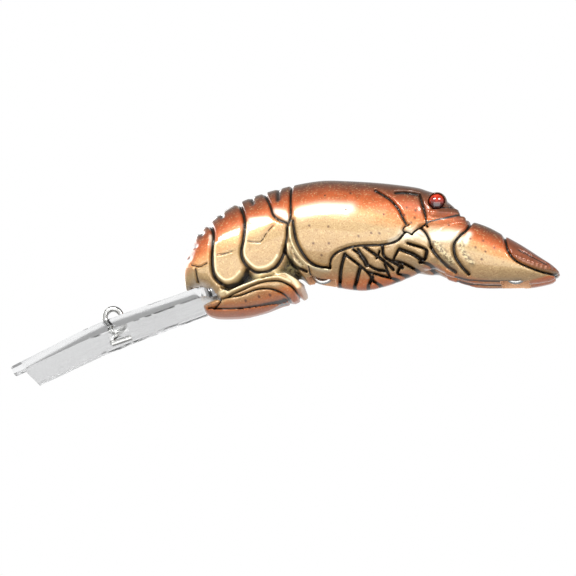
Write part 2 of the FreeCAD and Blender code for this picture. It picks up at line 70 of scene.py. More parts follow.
GROOVES = {
    "segment one": ([(12.6, 12.3), (13.8, 11.3), (14.4, 9.7), (14.3, 6.8), (14.4, 4.7), (15.0, 3.6),
                     (16.1, 3.0), (17.4, 3.3), (18.4, 4.1), (19.0, 5.0)], 0.26, 0.42),
    "segment two": ([(16.9, 15.2), (17.9, 13.8), (18.7, 11.4), (18.6, 8.9), (18.3, 7.2), (18.7, 5.8),
                     (19.9, 4.7), (21.3, 4.6), (22.6, 5.1), (23.7, 6.3), (24.2, 7.7)], 0.26, 0.42),
    "segment three": ([(20.6, 16.5), (22.0, 13.8), (22.6, 12.2), (23.4, 11.4), (24.5, 10.9)], 0.22, 0.3),
    "carapace rim": ([(24.6, 17.3), (24.9, 14.0), (25.0, 11.7), (24.6, 10.4), (24.5, 8.9), (24.2, 7.5),
                      (24.6, 6.3), (25.5, 5.4), (26.8, 4.9)], 0.2, 0.35),
    "carapace edge": ([(25.3, 11.2), (25.7, 8.7), (26.4, 7.1), (27.4, 5.9), (28.6, 5.3), (30.0, 5.1)],
                      0.24, 0.42),
    "carapace foot": ([(30.0, 5.1), (30.4, 6.2), (31.6, 7.0), (33.6, 7.5), (35.7, 7.6), (37.7, 7.7),
                      (39.3, 8.2), (40.3, 9.2)], 0.2, 0.35),
    "neck": ([(36.2, 15.4), (38.2, 13.9), (39.4, 12.5), (40.0, 11.3), (40.5, 10.3)], 0.2, 0.3),
    "neck curl": ([(40.9, 10.2), (40.3, 9.9), (40.1, 9.4), (40.7, 9.2), (41.2, 9.0)], 0.16, 0.22),
    "lobe fold": ([(19.2, 8.6), (20.9, 8.4), (21.9, 9.7), (22.7, 10.6)], 0.11, 0.12),
    "lobe crease": ([(15.0, 6.9), (16.1, 7.0), (17.1, 7.3)], 0.11, 0.12),
    "nose fold": ([(11.4, 5.9), (12.5, 5.5), (13.6, 5.9)], 0.12, 0.14),
    "nose crease": ([(12.0, 5.3), (12.1, 3.9)], 0.14, 0.18),
    "fan arc one": ([(15.8, 1.2), (18.3, 2.2), (20.8, 3.1), (23.1, 3.3), (24.7, 2.8), (25.4, 2.1)],
                    0.16, 0.24),
    "fan arc two": ([(15.0, 1.3), (17.8, 1.35), (20.3, 2.1), (22.2, 2.25), (23.8, 1.8), (24.2, 1.4)],
                    0.15, 0.22),
    "fan foot": ([(13.4, 0.35), (15.0, 0.1), (17.6, 0.1), (20.2, 0.5), (22.6, 1.15), (24.3, 1.6)],
                 0.13, 0.18),
    "fan point": ([(13.9, 1.9), (15.1, 1.3), (15.3, 0.7), (14.3, 0.2)], 0.14, 0.2),
    "plate one": ([(25.1, 4.9), (25.8, 4.0), (26.9, 3.4)], 0.15, 0.2),
    "plate two": ([(27.2, 5.3), (27.3, 4.5), (28.2, 3.9)], 0.15, 0.2),
    "arm joint": ([(42.4, 9.9), (43.1, 9.1), (43.5, 8.2), (43.7, 7.4)], 0.2, 0.35),
    "arm fold": ([(43.7, 7.4), (44.3, 6.4), (45.6, 5.1), (46.8, 4.3)], 0.3, 0.3),
    "claw joint": ([(48.9, 11.2), (48.5, 9.8), (47.5, 8.7), (46.8, 7.6), (46.9, 6.1), (47.7, 4.8),
                   (48.6, 3.9)], 0.24, 0.45),
    "finger": ([(53.2, 9.4), (53.6, 7.9), (54.0, 6.5), (55.0, 5.2), (57.2, 4.2), (59.2, 3.8),
               (60.3, 4.0)], 0.17, 0.32),
    "finger crease": ([(55.3, 6.8), (57.0, 5.9), (59.0, 4.9)], 0.13, 0.14),
    "claw keel": ([(46.6, 3.9), (48.8, 3.25), (52.0, 3.0), (55.5, 2.95)], 0.12, 0.1),
    "cheek": ([(42.2, 14.6), (42.6, 13.2), (43.0, 11.7), (43.3, 10.0)], 0.18, 0.25),
    "arm root": ([(41.2, 9.0), (42.4, 9.9), (44.0, 10.7), (46.0, 11.3), (48.2, 11.9)], 0.17, 0.28),
    "antenna": ([(44.0, 12.4), (45.8, 12.7), (47.2, 13.2)], 0.13, 0.2),
    "brow slot": ([(39.0, 14.9), (40.4, 14.9), (41.8, 14.6)], 0.26, 0.3),
}
# Short ring marks that notch the back of the abdomen, as (start, end).
RINGS = [
    ((9.4, 6.6), (11.0, 6.9)),
    ((9.9, 9.0), (11.9, 8.5)),
    ((11.3, 11.2), (12.7, 10.3)),
    ((14.4, 14.3), (15.4, 12.6)),
    ((18.8, 16.4), (19.6, 14.2)),
    ((22.8, 17.5), (23.1, 14.4)),
]
# Raised rims beside the grooves, with a cream painted highlight along them.
RIMS = {
    "lobe one": ([(14.7, 8.6), (14.7, 6.8), (14.8, 4.9), (15.4, 3.9), (16.2, 3.45), (17.3, 3.75),
                 (18.1, 4.5)], 0.16, 0.1),
    "lobe two": ([(19.1, 11.2), (19.0, 9.0), (18.75, 7.2), (19.1, 6.1), (20.1, 5.15), (21.2, 5.05),
                 (22.3, 5.5), (23.2, 6.5)], 0.15, 0.1),
    "carapace": ([(24.95, 10.2), (25.1, 8.6), (25.8, 6.9), (26.9, 5.6), (28.3, 5.0), (30.0, 4.75)],
                 0.15, 0.3),
    "carapace fold": ([(24.6, 8.0), (24.7, 7.2), (25.2, 6.2), (26.1, 5.4)], 0.12, 0.12),
    "fan": ([(15.3, 1.9), (17.8, 2.8), (20.5, 4.0), (22.7, 4.6), (24.3, 4.35), (25.3, 3.5), (25.8, 2.7)],
            0.34, 0.3),
    "fan ridge": ([(16.2, 1.75), (18.3, 2.65), (20.8, 3.55), (23.1, 3.8), (24.7, 3.3)], 0.16, 0.1),
}
# The hollow between the lobes and the fan, green-brown and painted near black as shadow, and the field of
# folded legs under the carapace.
HOLLOW = [(15.5, 2.7), (16.9, 3.1), (18.5, 4.4), (19.0, 4.9), (19.7, 4.2), (21.0, 3.8), (22.4, 4.3),
          (23.8, 5.3), (24.8, 7.0), (25.3, 5.7), (26.0, 4.5), (26.4, 3.9), (25.5, 3.9), (24.1, 4.6),
          (22.1, 4.5), (20.0, 3.7), (18.0, 2.9), (16.3, 2.3)]
LEG_FIELD = [(29.9, 3.0), (30.8, 5.7), (32.0, 7.1), (34.0, 7.3), (36.1, 7.5), (38.0, 7.4), (39.4, 8.0),
             (40.5, 8.9), (41.8, 9.1), (43.1, 8.5), (44.1, 7.0), (44.7, 5.7), (45.9, 4.6), (44.2, 4.0),
             (41.5, 4.2), (38.4, 3.0), (34.4, 2.2), (31.0, 2.4)]
# The gaps between the folded legs, as (line, half width), sunk and painted dark as shadow.
LEG_GAPS = [
    ([(32.2, 6.6), (31.5, 4.9), (30.8, 2.6)], 0.24),
    ([(34.1, 4.9), (33.4, 3.6), (32.6, 2.3)], 0.24),
    ([(35.6, 4.0), (35.0, 3.2), (34.4, 2.2)], 0.2),
    ([(32.2, 6.6), (35.0, 4.5), (35.6, 3.6), (36.9, 3.0)], 0.17),
    ([(33.4, 7.1), (34.6, 6.2), (34.9, 5.5), (36.2, 4.8), (37.4, 4.7)], 0.17),
    ([(34.4, 6.3), (34.8, 5.8), (35.0, 5.3)], 0.34),
    ([(34.9, 7.4), (37.4, 5.7), (38.4, 4.9)], 0.2),
    ([(37.3, 7.4), (37.5, 6.2), (39.6, 5.2)], 0.2),
    ([(39.5, 7.2), (41.0, 6.7), (42.6, 5.9), (43.1, 6.8)], 0.24),
    ([(35.1, 4.5), (37.8, 4.0), (39.4, 3.8)], 0.15),
    ([(37.4, 5.4), (37.8, 4.1)], 0.17),
    ([(38.0, 5.9), (39.9, 5.6), (41.5, 5.0), (43.6, 4.4)], 0.17),
    ([(39.6, 5.4), (38.9, 4.5), (40.6, 4.4)], 0.15),
    ([(40.6, 7.9), (42.3, 7.4), (43.1, 7.0)], 0.17),
    ([(42.0, 5.7), (43.5, 5.2), (45.0, 4.3)], 0.17),
    ([(36.9, 3.0), (38.6, 3.7)], 0.14),
    ([(34.6, 6.2), (34.0, 7.2)], 0.17),
    ([(36.9, 6.9), (36.4, 6.0)], 0.15),
    ([(39.4, 7.2), (38.6, 6.0)], 0.15),
]
SPOTS = [(28.1, 8.0), (30.2, 7.9), (29.1, 6.5), (30.2, 10.1), (27.6, 10.3), (32.5, 12.4), (35.9, 9.1),
         (37.6, 11.6), (34.2, 8.7), (37.0, 9.0), (40.6, 12.5), (41.8, 12.1), (40.3, 11.5), (41.7, 11.1),
         (41.2, 10.4), (46.1, 10.3), (49.0, 8.2), (50.7, 7.9), (52.2, 6.9), (49.7, 7.0), (51.0, 6.4),
         (50.5, 5.4), (20.6, 1.2), (22.0, 1.5), (18.8, 0.7), (29.6, 14.6), (33.0, 14.9)]
TEETH = ((54.6, 5.9), (57.4, 4.9), (60.0, 4.3))
TOOTH_PITCH, TOOTH_SIZE = 0.55, 0.22
# The last two set how dark and how wide the painted shadow along the ring marks is.
RING_DEPTH, RING_WIDTH, RING_SHADE, RING_SHADE_WIDTH = 0.16, 0.32, 0.55, 0.45
HOLLOW_DEPTH, FIELD_DEPTH, GAP_DEPTH, FIELD_FADE = 0.9, 0.1, 0.45, 0.8
SPOT_RADIUS, SPOT_EDGE = 0.24, 0.16
# Painted bands without relief, as (line, half width): cream-white painted highlights where the lights'
# reflection falls, stippled dots, and brown painted shadows with the darker strip along the back.
PAINTED_HIGHLIGHTS = [
    ([(40.2, 8.9), (42.0, 9.1), (43.2, 8.7)], 0.6),
    ([(44.2, 8.7), (45.8, 8.8), (47.2, 8.6)], 0.9),
    ([(23.0, 12.5), (23.9, 12.2), (24.5, 11.4)], 0.5),
    ([(19.6, 11.5), (21.0, 11.5), (21.8, 11.4)], 0.4),
    ([(14.1, 9.7), (14.4, 8.0)], 0.26),
    ([(18.7, 10.9), (19.0, 9.7)], 0.26),
    ([(26.6, 12.3), (29.5, 12.8), (33.0, 12.6)], 0.75),
    ([(48.8, 8.9), (48.3, 7.8)], 0.4),
    ([(38.4, 7.9), (39.9, 8.6)], 0.3),
    ([(16.6, 2.7), (18.6, 3.4), (20.8, 4.2), (22.6, 4.5)], 0.3),
]
STIPPLES = [
    ([(44.2, 8.0), (45.3, 6.6), (46.3, 5.4)], 0.55),
    ([(47.8, 7.6), (48.2, 6.2), (49.2, 5.0)], 0.4),
    ([(15.6, 2.1), (17.6, 2.7), (20.6, 3.9)], 0.35),
    ([(25.0, 8.4), (25.6, 6.6), (26.6, 5.3)], 0.25),
]
# Brown painted shadows about the eye, the cheek and the abdomen's joints; the band from (36.0, 16.4) is the
# darker strip along the back.
SHADOWS_AND_BACK_STRIP = [
    ([(44.5, 13.5), (44.6, 13.5)], 1.75),
    ([(45.0, 12.0), (47.4, 12.9)], 0.65),
    ([(42.4, 14.4), (43.0, 11.9)], 0.5),
    ([(23.0, 17.2), (23.2, 14.6)], 0.45),
    ([(18.3, 15.4), (18.3, 13.2)], 0.4),
    ([(13.0, 12.3), (14.0, 11.2)], 0.4),
    ([(36.0, 16.4), (39.0, 15.6), (43.0, 14.9)], 0.65),
    ([(10.2, 8.0), (11.4, 7.4)], 0.4),
    ([(11.6, 10.6), (12.6, 9.8)], 0.4),
]

# ---------------------------------------------------------------- lines and sizes of the pieces, in mm

# Round-ended rods that build up the head, as (start, end, radius, softness of the joint).
HEAD_PARTS = [
    ((44.5, -3.6, 13.5), (44.5, -4.6, 13.5), 1.36, 0.25),
    ((44.0, -5.6, 11.8), (47.0, -4.1, 11.8), 0.55, 0.15),
    ((43.4, -5.6, 10.6), (47.8, -3.6, 11.2), 0.5, 0.25),
    ((45.2, -4.4, 13.3), (45.9, -4.2, 12.3), 0.5, 0.3),
]
# The body's upper and lower edge in the side view, between which the paint changes.
CROWN_LINE = [(9.6, 8.0), (10.9, 10.3), (12.5, 12.1), (15.1, 14.1), (18.4, 15.6), (22.8, 16.9),
              (28.2, 17.8), (32.6, 17.8), (36.9, 17.3), (41.3, 16.6), (44.4, 15.5), (47.0, 13.0),
              (48.9, 11.6), (53.3, 9.6), (57.7, 6.9), (60.6, 4.6)]
FOOT_LINE = [(9.6, 1.0), (14.0, -0.5), (18.4, -0.5), (22.8, 0.8), (26.2, 2.2), (30.4, 3.0), (34.2, 2.8),
             (38.0, 3.5), (43.5, 4.8), (47.8, 3.1), (50.0, 2.6), (55.5, 2.4), (60.6, 3.8)]
# Where the copper of the back turns into the gold of the flank.
TURN_LINE = [(9.6, 4.6), (11.0, 5.0), (13.2, 5.9), (16.5, 8.2), (20.3, 10.0), (24.7, 11.3), (30.5, 12.0),
             (35.9, 11.2), (38.0, 10.4), (40.0, 9.5), (42.0, 9.2), (46.7, 9.0), (49.1, 7.4), (52.1, 5.9),
             (55.0, 4.8), (57.4, 4.3), (60.6, 4.1)]
SLOT_GAP = 0.06
BELLY_EYE, BELLY_LOOP = (28.6, 5.3), (28.6, 9.3)
TAIL_EYE, TAIL_LOOP = (54.6, 4.6), (49.6, 7.0)
RECESS_LONG, RECESS_WIDE, RECESS_WALL, RECESS_DROP = 1.9, 2.4, 0.9, 6.0
CHAMBERS = [(24.6, 11.9), (31.2, 12.3), (37.8, 11.8)]
CHAMBER_RADIUS, CHAMBER_DEPTH = 1.9, 4.3
EYE_PLACE = (44.5, 4.9, 13.5)
EYE_RADIUS, EYE_DOME, EYE_STEM, EYE_STEM_LENGTH, EYE_SINK = 1.05, 0.72, 0.5, 1.6, 0.3
EYE_STEPS = 13
# The eye goes from near-black painted shadow at its bottom to red at its top between these heights.
EYE_SHADE_BELOW, EYE_RED_ABOVE = 12.9, 13.9
EYE_SOCKET = ((44.5, -7.0, 13.5), (44.5, -4.6, 13.5), 1.12)
NOSE_X, NOSE_Z, NOSE_SIZE = 10.1, 3.3, 2.5    # the body narrows to a point here
STEM_ROOM, STEM_HOLE, WIRE_SEAT = 2.2, 0.55, 0.47
WALL = 1.3
OUTER_GRID = [(8.6, 61.6), (-8.4, 1.0), (-2.0, 19.2)]
INNER_GRID = [(8.0, 62.0), (-9.0, 2.0), (-2.0, 19.6)]
FINE_CELL, QUICK_CELL, INNER_CELL = 0.14, 0.26, 0.6
HALF_BOX = {1: ((0, -12, -6), (70, 0, 25)), -1: ((0, 0, -6), (70, 12, 25))}
SLOT_FROM = 6.4                    # where the cut for the lip begins
LIP_END, LIP_BEND, LIP_ROOT, TANG_END = -12.8, -1.1, 13.4, 20.6
LIP_BEND_Z, BEND_DIP, BEND_LENGTH = -1.98, 0.12, 1.6
LIP_THICKNESS = [1.05, 1.5, 1.15]
LIP_RISE_FRONT, LIP_RISE_REAR = 5.72 / 11.7, 7.18 / 21.7
FRONT_SLOPE, REAR_SLOPE = math.radians(26.0), math.radians(18.3)
LIP_HALF, TANG_HALF, NECK_HALF = 6.0, 3.2, 2.0
SHOULDER = 1.6
NOTCH_FROM, NOTCH_TO = 15.4, 18.0
PRONG_INNER, PRONG_REACH = -4.0, 1.3
SHANK_HOLE, LIP_ROUND = 0.45, 0.16
TIE_BORE, HANGER_BORE, WIRE_WIDTH, RUN_RADIUS, BORE_FLAT = 0.7, 0.8, 0.8, 0.38, 0.03
TIE_RUNS = [((0, -1.1), (0, -3.75)), ((-0.1, -3.7), (2.55, -2.86))]
BELLY_RUN = ((28.6, 6.5), (28.6, 8.1))
TAIL_RUN = ((53.52, 5.12), (50.68, 6.48))

# ---------------------------------------------------------------- light and view, in metres and watts

SURROUND_LIGHT, OVERHEAD_LIGHT = 0.84, 0.25
FADE_FROM, FADE_TO = 0.05, 0.8     # how steep a direction is where the surround begins and ends to dim
AIM_MIDDLE, AIM_LOW = (0.03, 0, 0.01), (0.03, 0, 0.005)
# Each soft light is (name, place, aim, width and height, power).
LIGHTS = [
    ("key", (-0.09, -0.31, 0.25), AIM_MIDDLE, (0.16, 0.09), 1.5),
    ("second_key", (0.22, -0.29, 0.22), AIM_MIDDLE, (0.14, 0.07), 0.8),
    ("fill", (0.06, -0.34, -0.16), AIM_LOW, (0.6, 0.36), 1.6),
    ("back", (-0.28, 0.32, 0.14), AIM_LOW, (0.4, 0.24), 1.2),
]
FLOOR_SIZE, FLOOR_Z = 8.0, -0.75
CAMERA_TURN, CAMERA_RISE = math.radians(7.5), math.radians(-12.0)
CAMERA_AWAY = 0.6
FRAME_WIDTH = 0.07784              # what the frame spans at the distance of the lure
SENSOR_WIDTH = 36.0
AIM_RIGHT, AIM_UP = 0.02365, 0.00392

# ---------------------------------------------------------------- small geometry helpers


def curve(points, parts=6):
    """A smooth line through given points."""
    p = np.array([points[0], *points, points[-1]], float)
    out = []
    for a, b, c, d in zip(p, p[1:], p[2:], p[3:]):
        for t in np.linspace(0, 1, parts, endpoint=False):
            square, cube = 2 * a - 5 * b + 4 * c - d, 3 * b - a - 3 * c + d
            out.append(0.5 * (2 * b + (c - a) * t + square * t**2 + cube * t**3))
    return np.array(out + [p[-1]])


def distance(x, z, line):
    """How far each point is from a line made of short runs."""
    best = np.full(x.shape, 1e9)
    for (ax, az), (bx, bz) in zip(line, line[1:]):
        ux, uz = bx - ax, bz - az
        t = np.clip(((x - ax) * ux + (z - az) * uz) / (ux * ux + uz * uz + 1e-12), 0, 1)
        best = np.minimum(best, (x - ax - t * ux) ** 2 + (z - az - t * uz) ** 2)
    return np.sqrt(best)


def inside(x, z, outline):
    """True for the points within a closed outline."""
    result = np.zeros(x.shape, bool)
    for (ax, az), (bx, bz) in zip(outline, np.roll(outline, -1, axis=0)):
        if az != bz:
            crosses = ((az > z) != (bz > z)) & (x < (bx - ax) * (z - az) / (bz - az) + ax)
            result ^= crosses
    return result


def ease(t):
    """A soft step from 0 to 1."""
    t = np.clip(t, 0, 1)
    return t * t * (3 - 2 * t)


def depth_in(x, z, outline, soft):
    """0 outside an area and 1 well inside it, with a soft edge."""
    loop = np.vstack([outline, outline[:1]])
    away = distance(x, z, loop)
    signed = np.where(inside(x, z, outline), away, -away)
    return ease(signed / soft + 0.5)


def along(table, x):
    """A width or a place that changes along the body."""
    xs, values = zip(*table)
    return np.interp(x, xs, values)


# ---------------------------------------------------------------- relief and paint masks at any (x, z)


def relief(x, z):
    """The height of the moulded detail above the smooth body."""
    height = np.zeros(x.shape)
    for line, width, depth in GROOVES.values():
        height -= depth * np.exp(-((distance(x, z, curve(line)) / width) ** 2))
    for line, width, rise in RIMS.values():
        height += rise * np.exp(-((distance(x, z, curve(line)) / width) ** 2))
    for start, end in RINGS:
        height -= RING_DEPTH * np.exp(-((distance(x, z, (start, end)) / RING_WIDTH) ** 2))
    height -= HOLLOW_DEPTH * depth_in(x, z, np.array(HOLLOW), 0.5)
    field = depth_in(x, z, np.array(LEG_FIELD), 0.4) * ease(distance(x, z, curve(BODY_BOTTOM)) / FIELD_FADE)
    height -= GAP_DEPTH * field * band_cover(x, z, LEG_GAPS) + FIELD_DEPTH * field
    saw = 0.5 + 0.5 * np.sin(x * 2 * math.pi / TOOTH_PITCH)
    height += TOOTH_SIZE * saw * np.exp(-((distance(x, z, TEETH) / TOOTH_SIZE) ** 2))
    return height


def masks(x, z):
    """The paint's masks: painted shadow in grooves, gaps and ring marks, cream painted highlights on the
    raised rims, spots, the green-brown hollow with its painted shadow, painted bands of highlight, stipple
    and shadow, and fingers.
    """
    # Painted shadow: dark brown along the grooves, leg gaps and ring marks, darker where a groove is deeper.
    groove_shade = band_cover(x, z, LEG_GAPS)
    for line, width, depth in GROOVES.values():
        strength = min(1.0, 0.45 + 1.6 * depth)
        groove_shade = np.maximum(groove_shade, strength * np.exp(-((distance(x, z, curve(line)) / (0.75 * width)) ** 2)))
    for start, end in RINGS:
        groove_shade = np.maximum(groove_shade, RING_SHADE * np.exp(-((distance(x, z, (start, end)) / RING_SHADE_WIDTH) ** 2)))
    rim_highlight = band_cover(x, z, [(line, 1.1 * width) for line, width, _ in RIMS.values()])
    spot = np.zeros(x.shape)
    for sx, sz in SPOTS:
        spot = np.maximum(spot, ease((SPOT_RADIUS - np.hypot(x - sx, z - sz)) / SPOT_EDGE))
    olive_and_shade = depth_in(x, z, np.array(HOLLOW), 0.35)
    painted_highlight, stipple, shadow_and_back_strip = (band_cover(x, z, bands) for bands in (PAINTED_HIGHLIGHTS, STIPPLES, SHADOWS_AND_BACK_STRIP))
    finger = ease((distance(x, z, curve(GROOVES["finger"][0])) + 0.1) / 0.5) * finger_area(x, z)
    return {"groove_shade": groove_shade, "rim_highlight": rim_highlight, "spot": spot, "olive_and_shade": olive_and_shade, "finger": finger,
            "painted_highlight": painted_highlight, "stipple": stipple, "shadow_and_back_strip": shadow_and_back_strip}


def band_cover(x, z, bands):
    """How far each point lies within soft painted bands."""
    cover = np.zeros(x.shape)
    for line, width in bands:
        cover = np.maximum(cover, np.exp(-((distance(x, z, curve(line)) / width) ** 2)))
    return cover


def finger_area(x, z):
    """The movable finger at the top of each claw's end."""
    edge = curve(GROOVES["finger"][0])
    outline = np.vstack([edge, [(61.5, 4.4), (61.5, 12.0), (53.2, 12.0)]])
    return inside(x, z, outline).astype(float)


# ---------------------------------------------------------------- the body as a field and a mesh


def pillow(x, y, z, top, bottom, half_width, centre, rise):
    """Below 0 inside a lobe between two outlines, elliptical across Y."""
    top, bottom = curve(top), curve(bottom)
    outline = np.vstack([top, bottom[::-1]])
    to_top, to_bottom = distance(x, z, top), distance(x, z, bottom)
    within = inside(x, z, outline)
    near_top = to_top < to_bottom
    to_top = np.where(~within & near_top, -to_top, to_top)
    to_bottom = np.where(~within & ~near_top, -to_bottom, to_bottom)
    total = np.abs(to_top) + np.abs(to_bottom) + 1e-6
    across = np.minimum(4 * (to_top + rise) * (to_bottom + rise) / total**2, 1.0)
    centre, rise, half_width, across = (flat[:, None, :] for flat in (centre, rise, half_width, across))
    gap = np.abs(y - centre) - rise
    return ((gap / half_width) ** 2 * np.sign(gap) - across) * half_width / 2


def capsule(x, y, z, start, end, radius):
    """Below 0 inside a round-ended rod."""
    run = np.array(end) - np.array(start)
    dx, dy, dz = x - start[0], y - start[1], z - start[2]
    t = np.clip((dx * run[0] + dy * run[1] + dz * run[2]) / run.dot(run), 0, 1)
    return np.sqrt((dx - t * run[0]) ** 2 + (dy - t * run[1]) ** 2 + (dz - t * run[2]) ** 2) - radius


def blend_min(a, b, soft):
    """The union of two fields with a soft crease."""
    h = np.clip(0.5 + 0.5 * (b - a) / soft, 0, 1)
    return b + (a - b) * h - soft * h * (1 - h)


def body_field(xs, ys, zs, inset, with_relief):
    """The left half as one field on a grid: below 0 inside, shrunk by inset."""
    x, z = np.meshgrid(xs, zs, indexing="ij")
    y = ys[None, :, None]
    rise = (relief(x, z) if with_relief else np.zeros(x.shape)) - inset
    zero = np.zeros(x.shape)
    nose = np.sqrt(np.clip(np.hypot(x - NOSE_X, z - NOSE_Z) / NOSE_SIZE, 0.02, 1))
    body = pillow(x, y, z, BODY_TOP, BODY_BOTTOM, along(BODY_WIDTH, x) * nose, zero, rise)
    claw = pillow(x, y, z, CLAW_TOP, CLAW_BOTTOM, along(CLAW_WIDTH, x), -along(CLAW_CENTRE, x), rise)
    whole = blend_min(body, claw, 0.5)
    if with_relief:
        fan = pillow(x, y, z, FAN_TOP, FAN_BOTTOM, along(FAN_WIDTH, x), zero, rise)
        whole = blend_min(whole, fan, 0.25)
        x3, z3 = xs[:, None, None], zs[None, None, :]
        for start, end, radius, soft in HEAD_PARTS:
            whole = blend_min(whole, capsule(x3, y, z3, start, end, radius), soft)
        whole = np.maximum(whole, -capsule(x3, y, z3, *EYE_SOCKET))
    whole[:, -1, :] = 1.0    # closes the surface past the joint plane
    return whole


def surface_net(field, xs, ys, zs):
    """Vertices and faces of the surface where the field is 0, with one vertex in each cell it crosses."""
    origin = np.array([xs[0], ys[0], zs[0]])
    step = np.array([xs[1] - xs[0], ys[1] - ys[0], zs[1] - zs[0]])
    cells = np.array(field.shape) - 1
    total = np.zeros((*cells, 3), np.float32)
    count = np.zeros(cells, np.int8)
    corners = [(i, j, k) for i in (0, 1) for j in (0, 1) for k in (0, 1)]
    for a in corners:
        for axis in range(3):
            if a[axis]:
                continue
            b = list(a)
            b[axis] = 1
            fa = field[a[0]:a[0] + cells[0], a[1]:a[1] + cells[1], a[2]:a[2] + cells[2]]
            fb = field[b[0]:b[0] + cells[0], b[1]:b[1] + cells[1], b[2]:b[2] + cells[2]]
            hit = (fa < 0) != (fb < 0)
            part = np.where(hit, fa / np.where(hit, fa - fb, 1), 0)
            for c in range(3):
                total[..., c] += np.where(hit, part if c == axis else a[c], 0)
            count += hit
    used = count > 0
    index = np.full(cells, -1, np.int64)
    index[used] = np.arange(used.sum())
    where = np.argwhere(used)
    points = origin + (where + total[used] / count[used][:, None]) * step
    return points, net_faces(field, index)


def net_faces(field, index):
    """One square for each grid edge that the surface crosses."""
    faces = []
    size = np.array(field.shape)
    for axis in range(3):
        u, v = (axis + 1) % 3, (axis + 2) % 3
        low = [slice(1, size[c] - 1) for c in range(3)]
        low[axis] = slice(0, size[axis] - 1)
        high = list(low)
        high[axis] = slice(1, size[axis])
        a, b = field[tuple(low)] < 0, field[tuple(high)] < 0
        for flip, hit in ((False, a & ~b), (True, ~a & b)):
            at = np.argwhere(hit)
            at[:, u] += 1
            at[:, v] += 1
            ring = []
            for du, dv in ((-1, -1), (0, -1), (0, 0), (-1, 0)):
                cell = at.copy()
                cell[:, u] += du
                cell[:, v] += dv
                ring.append(index[cell[:, 0], cell[:, 1], cell[:, 2]])
            quad = np.stack(ring[::-1] if flip else ring, axis=1)
            faces.append(quad)
    return np.vstack(faces)


def make_object(name, points, faces):
    """A mesh object from points in mm."""
    mesh = bpy.data.meshes.new(name)
    mesh.from_pydata((np.asarray(points) * MM).tolist(), [], [list(map(int, face)) for face in faces])
    mesh.validate()
    obj = bpy.data.objects.new(name, mesh)
    bpy.context.scene.collection.objects.link(obj)
    return obj


def cut_with(obj, other, operation):
    """Cuts, trims or joins obj with another closed mesh and deletes that mesh."""
    change = obj.modifiers.new("cut", "BOOLEAN")
    change.operation = operation
    change.solver = "MANIFOLD"
    change.object = other
    apply_modifiers(obj)
    bpy.data.objects.remove(other, do_unlink=True)


def apply_modifiers(obj):
    """Turns the modifiers' result into the object's own mesh."""
    depsgraph = bpy.context.evaluated_depsgraph_get()
    mesh = bpy.data.meshes.new_from_object(obj.evaluated_get(depsgraph))
    obj.modifiers.clear()
    old = obj.data
    obj.data = mesh
    bpy.data.meshes.remove(old)


def box_object(low, high):
    """A box between two corners, in mm."""
    x, y, z = zip(low, high)
    points = [(x[i], y[j], z[k]) for i in (0, 1) for j in (0, 1) for k in (0, 1)]
    faces = [(0, 1, 3, 2), (4, 6, 7, 5), (0, 4, 5, 1), (2, 3, 7, 6), (0, 2, 6, 4), (1, 5, 7, 3)]
    return make_object("cutter", points, faces)


def add_masks(obj):
    """Stores the paint's masks on every vertex of a shell."""
    mesh = obj.data
    co = np.empty(len(mesh.vertices) * 3)
    mesh.vertices.foreach_get("co", co)
    co = co.reshape(-1, 3) / MM
    x, z = co[:, 0], co[:, 2]
    values = masks(x, z)
    # Painted light: the hook recesses' walls get a pale colour, as unpainted plastic, that also cancels the
    # shadow falling in them.
    values["bare"] = np.zeros(x.shape)
    for place in (BELLY_EYE, TAIL_EYE):
        away = np.maximum(np.abs(x - place[0]) - RECESS_LONG, np.abs(co[:, 1]) - RECESS_WIDE)
        values["bare"] = np.maximum(values["bare"], (away < 0.02) & (z < place[1] + RECESS_LONG + 0.1))
    top = np.interp(x, *zip(*CROWN_LINE))
    foot = np.interp(x, *zip(*FOOT_LINE))
    turn = np.interp(x, *zip(*TURN_LINE))
    high = 0.5 + 0.5 * (z - turn) / np.maximum(top - turn, 0.5)
    low = 0.5 * (z - foot) / np.maximum(turn - foot, 0.5)
    values["height"] = np.clip(np.where(z > turn, high, low), 0, 1)
    for name, data in values.items():
        layer = mesh.attributes.new(name, "FLOAT", "POINT")
        layer.data.foreach_set("value", data.astype(np.float32))


def shell_meshes():
    """The two half shells with their moulded detail, hollow inside and open only at the joint plane."""
    outer = half_surface(OUTER_GRID, FINE_CELL, 0.0, True)
    inner = half_surface(INNER_GRID, INNER_CELL, WALL, False)
    shells = []
    for name, side in (("left_shell_look", 1), ("right_shell_look", -1)):
        shell = one_side(name, outer, side)
        cut_with(shell, box_object(*HALF_BOX[side]), "INTERSECT")
        core = one_side("core", inner, side)
        for x, z in (BELLY_EYE, TAIL_EYE):
            long, wide = RECESS_LONG + RECESS_WALL, RECESS_WIDE + RECESS_WALL
            cut_with(core, box_object((x - long, -wide, z - RECESS_DROP), (x + long, wide, z + long)),
                     "DIFFERENCE")
        cut_with(shell, core, "DIFFERENCE")
        for cutter in seat_cutters(side):
            cut_with(shell, cutter, "DIFFERENCE")
        add_masks(shell)
        shells.append(shell)
    return shells


def half_surface(limits, cell, inset, with_relief):
    """The surface of the left half on a grid of cells between three pairs of limits."""
    xs, ys, zs = (np.arange(low, high, cell) for low, high in limits)
    return surface_net(body_field(xs, ys, zs, inset, with_relief), xs, ys, zs)


def one_side(name, surface, side):
    """The left half's surface as it is for side 1, or its mirror image for side -1."""
    points, faces = surface
    return make_object(name, points * np.array([1, side, 1]), faces if side > 0 else faces[:, ::-1])


